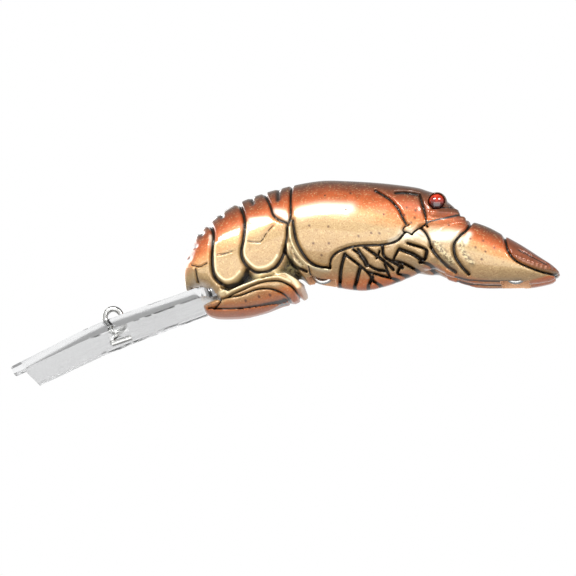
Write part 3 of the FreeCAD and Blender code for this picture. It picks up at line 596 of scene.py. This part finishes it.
def seat_cutters(side):
    """What is cut out of a shell: room for the lip, hook rings, hanger wires, rattle balls and eye stem."""
    places = [x for x in lip_stations() if x > SLOT_FROM] + [TANG_END]
    half = {x: lip_half_width(x - SLOT_GAP) + SLOT_GAP for x in places}
    cutters = [plate_mesh("slot", places, lambda x: -half[x], lambda x: half[x], 3, SLOT_GAP)]
    for (x, z), (loop_x, loop_z) in ((BELLY_EYE, BELLY_LOOP), (TAIL_EYE, TAIL_LOOP)):
        cutters.append(rod("recess", (x, -RECESS_WIDE, z), (x, RECESS_WIDE, z), RECESS_LONG, 48))
        low = (x - RECESS_LONG, -RECESS_WIDE, z - RECESS_DROP)
        cutters.append(box_object(low, (x + RECESS_LONG, RECESS_WIDE, z)))
        cutters.append(rod("seat", (x, 0, z), (loop_x, 0, loop_z), WIRE_SEAT))
    for x, z in CHAMBERS:
        cutters.append(rod("chamber", (x, -CHAMBER_DEPTH, z), (x, CHAMBER_DEPTH, z), CHAMBER_RADIUS, 48))
    stem_x, stem_y, stem_z = EYE_PLACE
    start = (stem_x, -side * (stem_y - STEM_ROOM), stem_z)
    cutters.append(rod("stem", start, (stem_x, -side * stem_y, stem_z), STEM_HOLE))
    return cutters


# ---------------------------------------------------------------- the clear lip, the eyes and the wire


def bevel(obj, width, segments=3, angle=35):
    """Rounds the sharp edges of a piece."""
    change = obj.modifiers.new("bevel", "BEVEL")
    change.width = width * MM
    change.segments = segments
    change.limit_method = "ANGLE"
    change.angle_limit = math.radians(angle)
    apply_modifiers(obj)


def shade_smooth(obj, angle=40):
    """Smooth shading, with edges sharper than the angle kept."""
    mesh = obj.data
    mesh.polygons.foreach_set("use_smooth", [True] * len(mesh.polygons))
    with bpy.context.temp_override(object=obj, selected_editable_objects=[obj], active_object=obj):
        bpy.ops.object.shade_smooth_by_angle(angle=math.radians(angle))


def lip_top(x):
    """Height of the lip's top face in the middle of its width."""
    rise = LIP_RISE_FRONT if x < LIP_BEND else LIP_RISE_REAR
    softened = BEND_DIP * math.exp(-((x - LIP_BEND) / BEND_LENGTH) ** 2)
    return LIP_BEND_Z + (x - LIP_BEND) * rise - softened


def lip_thickness(x):
    """The plate thins towards its end and towards the body."""
    return np.interp(x, [LIP_END, LIP_BEND, TANG_END], LIP_THICKNESS)


def lip_half_width(x):
    """Half the width of the plate: straight sides, round shoulders and a notched tang."""
    if x <= LIP_ROOT - SHOULDER:
        return LIP_HALF
    if x <= LIP_ROOT:
        t = (x - LIP_ROOT + SHOULDER) / SHOULDER
        return TANG_HALF + (LIP_HALF - TANG_HALF) * math.sqrt(max(0.0, 1 - t * t))
    return NECK_HALF if NOTCH_FROM < x < NOTCH_TO else TANG_HALF


def lip_stations():
    """Places along the lip, closer together at its round shoulders and on both sides of each notch's end."""
    plain = np.linspace(LIP_END + PRONG_REACH, LIP_ROOT - SHOULDER, 60)
    shoulder = LIP_ROOT - SHOULDER + SHOULDER * np.sin(np.linspace(0.1, math.pi / 2, 14))
    tang = [13.5, 15.35, 15.45, 16.7, 17.95, 18.05, 19.5, TANG_END - 0.1]
    return [*plain, *shoulder, *tang]


def plate_mesh(name, stations, low_side, high_side, columns, gap=0.0):
    """A bent plate through cross-sections, closed at both ends and grown by gap above and below."""
    points, faces = [], []
    for x in stations:
        z, thick = float(lip_top(x)) + gap, float(lip_thickness(x)) + 2 * gap
        low, high = low_side(x), high_side(x)
        slope = FRONT_SLOPE if x < LIP_BEND else REAR_SLOPE
        for y in np.linspace(low, high, columns):
            points.append((x, y, z))
        for y in np.linspace(high, low, columns):
            points.append((x + thick * math.sin(slope) * 0.9, y, z - thick * math.cos(slope)))
    ring = 2 * columns
    for i in range(len(stations) - 1):
        for j in range(ring):
            a, b = i * ring + j, i * ring + (j + 1) % ring
            faces.append((a, b, b + ring, a + ring))
    faces.append(tuple(range(ring))[::-1])
    faces.append(tuple(range(len(points) - ring, len(points))))
    return make_object(name, points, [face[::-1] for face in faces])


def make_lip():
    """The clear lip: a bent plate with a step that stands out at the left of its end."""
    lip = plate_mesh("lip_look", lip_stations(), lambda x: -lip_half_width(x), lip_half_width, 13)
    prong_places = np.linspace(LIP_END + 0.02, LIP_END + PRONG_REACH + 1.0, 8)
    prong = plate_mesh("prong", prong_places, lambda x: -LIP_HALF, lambda x: PRONG_INNER, 5)
    cut_with(lip, prong, "UNION")
    cut_with(lip, rod("shank_hole", (0, 0, -6), (0, 0, 3), SHANK_HOLE, 24), "DIFFERENCE")
    bevel(lip, LIP_ROUND)
    return lip


def rod(name, start, end, radius, sides=20):
    """A closed round rod between two points."""
    start, end = Vector(start), Vector(end)
    run = end - start
    turn = run.to_track_quat("Z", "Y").to_matrix()
    points, faces = [], []
    for base in (start, end):
        for k in range(sides):
            angle = 2 * math.pi * k / sides
            points.append(base + turn @ Vector((radius * math.cos(angle), radius * math.sin(angle), 0)))
    for k in range(sides):
        m = (k + 1) % sides
        faces.append((k, m, m + sides, k + sides))
    faces.append(tuple(range(sides))[::-1])
    faces.append(tuple(range(sides, 2 * sides)))
    return make_object(name, points, faces)


def ring(name, centre, inner, width, turns=72, sides=20):
    """A wire loop about an axis along Y: round outside, pressed flat along its bore."""
    points, faces = [], []
    half = width / 2
    middle = inner + half
    for i in range(turns):
        angle = 2 * math.pi * i / turns
        for j in range(sides):
            around = 2 * math.pi * j / sides
            reach = max(middle + half * math.cos(around), inner + BORE_FLAT)
            x, z = centre[0] + reach * math.cos(angle), centre[1] + reach * math.sin(angle)
            points.append((x, half * math.sin(around), z))
    for i in range(turns):
        for j in range(sides):
            a, b = i * sides + j, i * sides + (j + 1) % sides
            c, d = ((i + 1) % turns) * sides + (j + 1) % sides, ((i + 1) % turns) * sides + j
            faces.append((a, d, c, b))
    return make_object(name, points, faces)


def lathe(name, profile, place, side, turns=64):
    """A solid turned about an axis along Y, with its front towards the outside of the body."""
    points, faces = [], []
    for radius, out in profile:
        for k in range(turns):
            angle = 2 * math.pi * k / turns
            x, z = place[0] + radius * math.cos(angle), place[2] + radius * math.sin(angle)
            points.append((x, side * (place[1] + out), z))
    for i in range(len(profile) - 1):
        for k in range(turns):
            m = (k + 1) % turns
            face = (i * turns + k, i * turns + m, (i + 1) * turns + m, (i + 1) * turns + k)
            faces.append(face if side > 0 else face[::-1])
    first, last = tuple(range(turns)), tuple(range(len(points) - turns, len(points)))
    faces.append(first[::-1] if side > 0 else first)
    faces.append(last if side > 0 else last[::-1])
    return make_object(name, points, faces)


def make_eye(name, side):
    """The red eye: a dome on a short stem."""
    profile = [(EYE_STEM, -EYE_STEM_LENGTH), (EYE_STEM, -EYE_SINK), (EYE_RADIUS, -EYE_SINK)]
    for k in range(EYE_STEPS):
        angle = math.pi / 2 * k / EYE_STEPS
        profile.append((EYE_RADIUS * math.cos(angle), EYE_DOME * math.sin(angle)))
    return lathe(name, profile, EYE_PLACE, side)


def wire_piece(name, centres, bore, runs):
    """A wire piece out of loops and straight runs, welded into one mesh."""
    piece, *others = [ring(name, centre, bore, WIRE_WIDTH) for centre in centres]
    for (start_x, start_z), (end_x, end_z) in runs:
        others.append(rod("run", (start_x, 0, start_z), (end_x, 0, end_z), RUN_RADIUS))
    for other in others:
        cut_with(piece, other, "UNION")
    return piece


# ---------------------------------------------------------------- materials


def rgb(red, green, blue):
    """A display colour, 0 to 255, as the linear colour that the shader needs."""
    out = []
    for value in (red, green, blue):
        v = value / 255
        out.append(v / 12.92 if v <= 0.04045 else ((v + 0.055) / 1.055) ** 2.4)
    return (*out, 1.0)


class Nodes:
    """Short ways to add and join the nodes of one material."""

    def __init__(self, name):
        self.material = bpy.data.materials.new(name)
        self.material.use_nodes = True
        self.tree = self.material.node_tree
        self.shader = self.tree.nodes["Principled BSDF"]
        self.place = self.add("ShaderNodeTexCoord").outputs["Object"]

    def add(self, kind, **values):
        """A node with its properties set."""
        node = self.tree.nodes.new(kind)
        for key, value in values.items():
            setattr(node, key, value)
        return node

    def link(self, source, target):
        """Joins an output to an input."""
        self.tree.links.new(source, target)

    def mask(self, name):
        """One of the masks stored on the vertices."""
        return self.add("ShaderNodeAttribute", attribute_name=name).outputs["Fac"]

    def noise(self, scale, detail=4.0, roughness=0.6):
        """A cloud of values between 0 and 1; scale is in patches per metre."""
        node = self.add("ShaderNodeTexNoise")
        node.inputs["Scale"].default_value = scale
        node.inputs["Detail"].default_value = detail
        node.inputs["Roughness"].default_value = roughness
        self.link(self.place, node.inputs["Vector"])
        return node.outputs["Fac"]

    def step(self, value, low, high, top=1.0):
        """Maps a value between two limits to 0 and top."""
        node = self.add("ShaderNodeMapRange", interpolation_type="SMOOTHSTEP")
        node.inputs["From Min"].default_value = low
        node.inputs["From Max"].default_value = high
        node.inputs["To Max"].default_value = top
        self.link(value, node.inputs["Value"])
        return node.outputs["Result"]

    def math(self, operation, a, b):
        """Arithmetic on two values, each a socket or a number."""
        node = self.add("ShaderNodeMath", operation=operation)
        for socket, value in zip(node.inputs, (a, b)):
            if isinstance(value, (int, float)):
                socket.default_value = value
            else:
                self.link(value, socket)
        return node.outputs["Value"]

    def mix(self, factor, a, b):
        """Mixes two colours, each a socket or a colour."""
        node = self.add("ShaderNodeMix", data_type="RGBA")
        sockets = [node.inputs[0], node.inputs[6], node.inputs[7]]
        for socket, value in zip(sockets, (factor, a, b)):
            if isinstance(value, (int, float, tuple)):
                socket.default_value = value
            else:
                self.link(value, socket)
        return node.outputs[2]

    def ramp(self, value, stops):
        """A colour ramp with (position, colour) stops."""
        node = self.add("ShaderNodeValToRGB")
        band = node.color_ramp
        while len(band.elements) < len(stops):
            band.elements.new(1.0)
        for element, (position, colour) in zip(band.elements, stops):
            element.position = position
            element.color = colour
        self.link(value, node.inputs["Fac"])
        return node.outputs["Color"]

    def bump(self, value, height, strength=0.5):
        """A bump map of that height in metres."""
        node = self.add("ShaderNodeBump")
        node.inputs["Distance"].default_value = height
        node.inputs["Strength"].default_value = strength
        self.link(value, node.inputs["Height"])
        self.link(node.outputs["Normal"], self.shader.inputs["Normal"])

    def set(self, **values):
        """Constant values on the shader itself, with spaces in names written as underscores."""
        for key, value in values.items():
            self.shader.inputs[key.replace("_", " ")].default_value = value


BODY_RAMP = [
    (0.00, rgb(196, 96, 36)), (0.04, rgb(190, 110, 54)), (0.09, rgb(166, 134, 92)),
     (0.44, rgb(174, 146, 102)),
    (0.54, rgb(198, 138, 84)), (0.63, rgb(194, 102, 50)), (0.73, rgb(172, 80, 36)), (0.84, rgb(122, 58, 30)),
    (0.92, rgb(92, 58, 40)), (1.00, rgb(76, 60, 46)),
]


def paint_material():
    """Airbrushed copper and gold, with spots and fine specks, painted shadow in the grooves and hollows and
    painted highlights, under a clear coat.
    """
    m = Nodes("crayfish_paint")
    height = m.math("ADD", m.mask("height"), m.math("MULTIPLY", m.math("SUBTRACT", m.noise(260), 0.5), 0.10))
    colour = m.ramp(height, BODY_RAMP)
    grain = m.step(m.noise(5200, 3), 0.48, 0.66, 0.5)
    colour = m.mix(grain, colour, rgb(128, 84, 48))
    pale = m.step(m.noise(3600, 2), 0.55, 0.72, 0.3)
    colour = m.mix(pale, colour, rgb(244, 214, 160))
    # Brown painted shadow about the eye, the cheek and the joints, and the darker strip along the back.
    colour = m.mix(m.math("MULTIPLY", m.mask("shadow_and_back_strip"), 0.75), colour, rgb(88, 54, 36))
    colour = m.mix(m.math("MULTIPLY", m.mask("finger"), 0.85), colour, rgb(116, 62, 38))
    # Painted highlight: cream-white where the lights' reflection falls on the arm, the carapace and the
    # abdomen.
    colour = m.mix(m.math("MULTIPLY", m.mask("painted_highlight"), 0.8), colour, rgb(250, 240, 218))
    # The hollow's colour: green-brown paint mixed with near-black painted shadow.
    hollow = m.mix(m.step(m.noise(2300, 4), 0.44, 0.58), rgb(28, 26, 18), rgb(132, 124, 88))
    colour = m.mix(m.math("MULTIPLY", m.mask("olive_and_shade"), 0.92), colour, hollow)
    dots = m.mix(m.step(m.noise(2600, 3), 0.46, 0.56), rgb(52, 46, 34), rgb(206, 190, 146))
    colour = m.mix(m.math("MULTIPLY", m.mask("stipple"), 0.7), colour, dots)
    # Painted highlight: cream along the raised rims.
    colour = m.mix(m.math("MULTIPLY", m.mask("rim_highlight"), 0.8), colour, rgb(246, 230, 188))
    colour = m.mix(m.math("MULTIPLY", m.mask("spot"), 0.85), colour, rgb(70, 36, 20))
    # Painted shadow in the grooves, gaps and ring marks, with a ragged edge.
    ragged = m.math("MULTIPLY", m.mask("groove_shade"), m.step(m.noise(1400, 3), 0.2, 0.5, 1.0))
    groove_shade = m.math("ADD", m.math("MULTIPLY", ragged, 0.4), m.math("MULTIPLY", m.mask("groove_shade"), 0.6))
    colour = m.mix(m.step(groove_shade, 0.12, 0.62), colour, rgb(34, 24, 14))
    # Pale colour on the hook recesses' walls: unpainted plastic, and painted light that cancels their
    # shadow.
    colour = m.mix(m.mask("bare"), colour, rgb(236, 190, 150))
    m.link(colour, m.shader.inputs["Base Color"])
    m.link(m.step(m.noise(900, 4), 0.2, 0.8, 0.45), m.shader.inputs["Metallic"])
    m.link(m.math("ADD", m.math("MULTIPLY", m.noise(3000, 2), 0.12), 0.32), m.shader.inputs["Roughness"])
    m.bump(m.noise(3800, 4), 0.00003, 0.5)
    m.set(Coat_Weight=0.7, Coat_Roughness=0.07, Coat_IOR=1.45)
    return m.material


def lip_material():
    """Clear moulded plastic with faint flow marks."""
    m = Nodes("clear_plastic")
    m.set(Base_Color=(0.93, 0.935, 0.94, 1.0), Transmission_Weight=1.0, IOR=1.46)
    m.link(m.math("ADD", m.math("MULTIPLY", m.noise(500, 2), 0.08), 0.05), m.shader.inputs["Roughness"])
    m.bump(m.noise(160, 2), 0.00008, 0.25)
    return m.material


def wire_material():
    """Drawn steel wire, a little worn."""
    m = Nodes("steel_wire")
    dark, light = (0.32, 0.32, 0.31, 1.0), (0.68, 0.68, 0.66, 1.0)
    m.link(m.mix(m.noise(1800), dark, light), m.shader.inputs["Base Color"])
    m.link(m.math("ADD", m.math("MULTIPLY", m.noise(2500), 0.25), 0.15), m.shader.inputs["Roughness"])
    m.set(Metallic=1.0)
    m.bump(m.noise(5000), 0.00002, 0.4)
    return m.material


def eye_material():
    """Deep red plastic, darker in patches and painted dark as shadow towards its bottom, with a polished
    front.
    """
    m = Nodes("red_eye")
    height = m.add("ShaderNodeSeparateXYZ")
    m.link(m.place, height.inputs[0])
    # Painted shadow: the eye's bottom is near black.
    shade_below = m.step(height.outputs["Z"], EYE_SHADE_BELOW * MM, EYE_RED_ABOVE * MM)
    patches = m.mix(m.step(m.noise(700, 2), 0.42, 0.62), rgb(190, 52, 24), rgb(110, 24, 14))
    m.link(m.mix(shade_below, rgb(44, 16, 16), patches), m.shader.inputs["Base Color"])
    m.set(Roughness=0.12, Coat_Weight=1.0, Coat_Roughness=0.02)
    m.bump(m.noise(900, 2), 0.00002, 0.3)
    return m.material


def metal_material(name, dark, light, low, high):
    """Bare metal between two shades and two roughnesses."""
    m = Nodes(name)
    m.link(m.mix(m.noise(900), dark, light), m.shader.inputs["Base Color"])
    m.link(m.math("ADD", m.math("MULTIPLY", m.noise(1500), high - low), low), m.shader.inputs["Roughness"])
    m.set(Metallic=1.0)
    m.bump(m.noise(2500), 0.00003, 0.4)
    return m.material


# ---------------------------------------------------------------- assembly


def finish_piece(obj, material, node, angle=40):
    """Shades a piece, gives it its material and puts it in place of its CAD node."""
    shade_smooth(obj, angle)
    obj.data.materials.clear()
    obj.data.materials.append(material)
    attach(obj, "lure_body")
    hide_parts(node)


def build_lure():
    """Every visible piece of the lure, and the materials of the CAD pieces inside it."""
    paint, clear, steel, red = paint_material(), lip_material(), wire_material(), eye_material()
    left, right = shell_meshes()
    finish_piece(left, paint, "left_body_shell", 60)
    finish_piece(right, paint, "right_body_shell", 60)
    finish_piece(make_lip(), clear, "diving_lip", 30)
    finish_piece(make_eye("left_eye_look", -1), red, "left_eye")
    finish_piece(make_eye("right_eye_look", 1), red, "right_eye")
    tie = wire_piece("line_tie_look", [(0, 0)], TIE_BORE, TIE_RUNS)
    belly = wire_piece("belly_hanger_look", [BELLY_EYE, BELLY_LOOP], HANGER_BORE, [BELLY_RUN])
    tail = wire_piece("tail_hanger_look", [TAIL_EYE, TAIL_LOOP], HANGER_BORE, [TAIL_RUN])
    finish_piece(tie, steel, "line_tie_eye")
    finish_piece(belly, steel, "belly_hook_hanger")
    finish_piece(tail, steel, "tail_hook_hanger")
    lead = metal_material("lead", (0.10, 0.10, 0.11, 1.0), (0.30, 0.30, 0.32, 1.0), 0.45, 0.75)
    ball = metal_material("ball_steel", (0.45, 0.46, 0.48, 1.0), (0.75, 0.76, 0.78, 1.0), 0.12, 0.3)
    for name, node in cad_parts.items():
        if name == "ballast_weight" or name.startswith("rattle_ball"):
            node.data.materials.clear()
            node.data.materials.append(lead if name == "ballast_weight" else ball)


# ---------------------------------------------------------------- floor, light and camera

def add_floor():
    """A plain pale floor well under the lure, which hangs above it."""
    bpy.ops.mesh.primitive_plane_add(size=FLOOR_SIZE, location=(0, 0, FLOOR_Z))
    floor = bpy.context.object
    floor.name = "floor"
    m = Nodes("pale_floor")
    m.link(m.mix(m.noise(6), (0.86, 0.86, 0.86, 1.0), (0.9, 0.9, 0.9, 1.0)), m.shader.inputs["Base Color"])
    m.set(Roughness=0.8)
    floor.data.materials.append(m.material)


def add_area(name, place, aim, size, power):
    """A soft rectangular light that looks at a point."""
    data = bpy.data.lights.new(name, "AREA")
    data.shape = "RECTANGLE"
    data.size, data.size_y = size
    data.energy = power
    light = bpy.data.objects.new(name, data)
    light.location = place
    light.visible_transmission = False
    light.rotation_euler = (Vector(aim) - Vector(place)).to_track_quat("-Z", "Y").to_euler()
    bpy.context.scene.collection.objects.link(light)


def add_light():
    """The surround and the soft lights: two above the front, a wide fill below it and one behind."""
    add_surround()
    for light in LIGHTS:
        add_area(*light)
    bpy.context.scene.view_settings.view_transform = "Standard"


def add_surround():
    """A surround that is white to the eye and through clear plastic, and lights less from overhead."""
    world = bpy.data.worlds.new("white")
    bpy.context.scene.world = world
    world.use_nodes = True
    nodes, links = world.node_tree.nodes, world.node_tree.links
    background = nodes["Background"]
    background.inputs["Color"].default_value = (1.0, 1.0, 1.0, 1.0)
    seen = nodes.new("ShaderNodeLightPath")
    strength = nodes.new("ShaderNodeMapRange")
    toward = nodes.new("ShaderNodeTexCoord")
    split = nodes.new("ShaderNodeSeparateXYZ")
    above = nodes.new("ShaderNodeMapRange")
    limits = {"From Min": FADE_FROM, "From Max": FADE_TO, "To Min": SURROUND_LIGHT, "To Max": OVERHEAD_LIGHT}
    for socket, value in limits.items():
        above.inputs[socket].default_value = value
    links.new(toward.outputs["Generated"], split.inputs[0])
    links.new(split.outputs["Z"], above.inputs["Value"])
    links.new(above.outputs["Result"], strength.inputs["To Min"])
    strength.inputs["To Max"].default_value = 1.0
    direct = nodes.new("ShaderNodeMath")
    direct.operation = "MAXIMUM"
    links.new(seen.outputs["Is Camera Ray"], direct.inputs[0])
    links.new(seen.outputs["Is Transmission Ray"], direct.inputs[1])
    links.new(direct.outputs["Value"], strength.inputs["Value"])
    links.new(strength.outputs["Result"], background.inputs["Strength"])




def add_camera():
    """A long lens at the height and turn of the view that shows the lure's left side."""
    right = Vector((math.cos(CAMERA_TURN), math.sin(CAMERA_TURN), 0))
    level = Vector((-math.sin(CAMERA_TURN), math.cos(CAMERA_TURN), 0))
    up = level * math.sin(CAMERA_RISE) + Vector((0, 0, math.cos(CAMERA_RISE)))
    back = right.cross(up)
    place = right * AIM_RIGHT + up * AIM_UP + back * CAMERA_AWAY
    data = bpy.data.cameras.new("camera")
    data.sensor_width = SENSOR_WIDTH
    data.lens = SENSOR_WIDTH * CAMERA_AWAY / FRAME_WIDTH
    camera = bpy.data.objects.new("camera", data)
    camera.matrix_world = Matrix.Translation(place) @ Matrix((right, up, back)).transposed().to_4x4()
    bpy.context.scene.collection.objects.link(camera)
    bpy.context.scene.camera = camera


build_lure()
add_floor()
add_light()
add_camera()
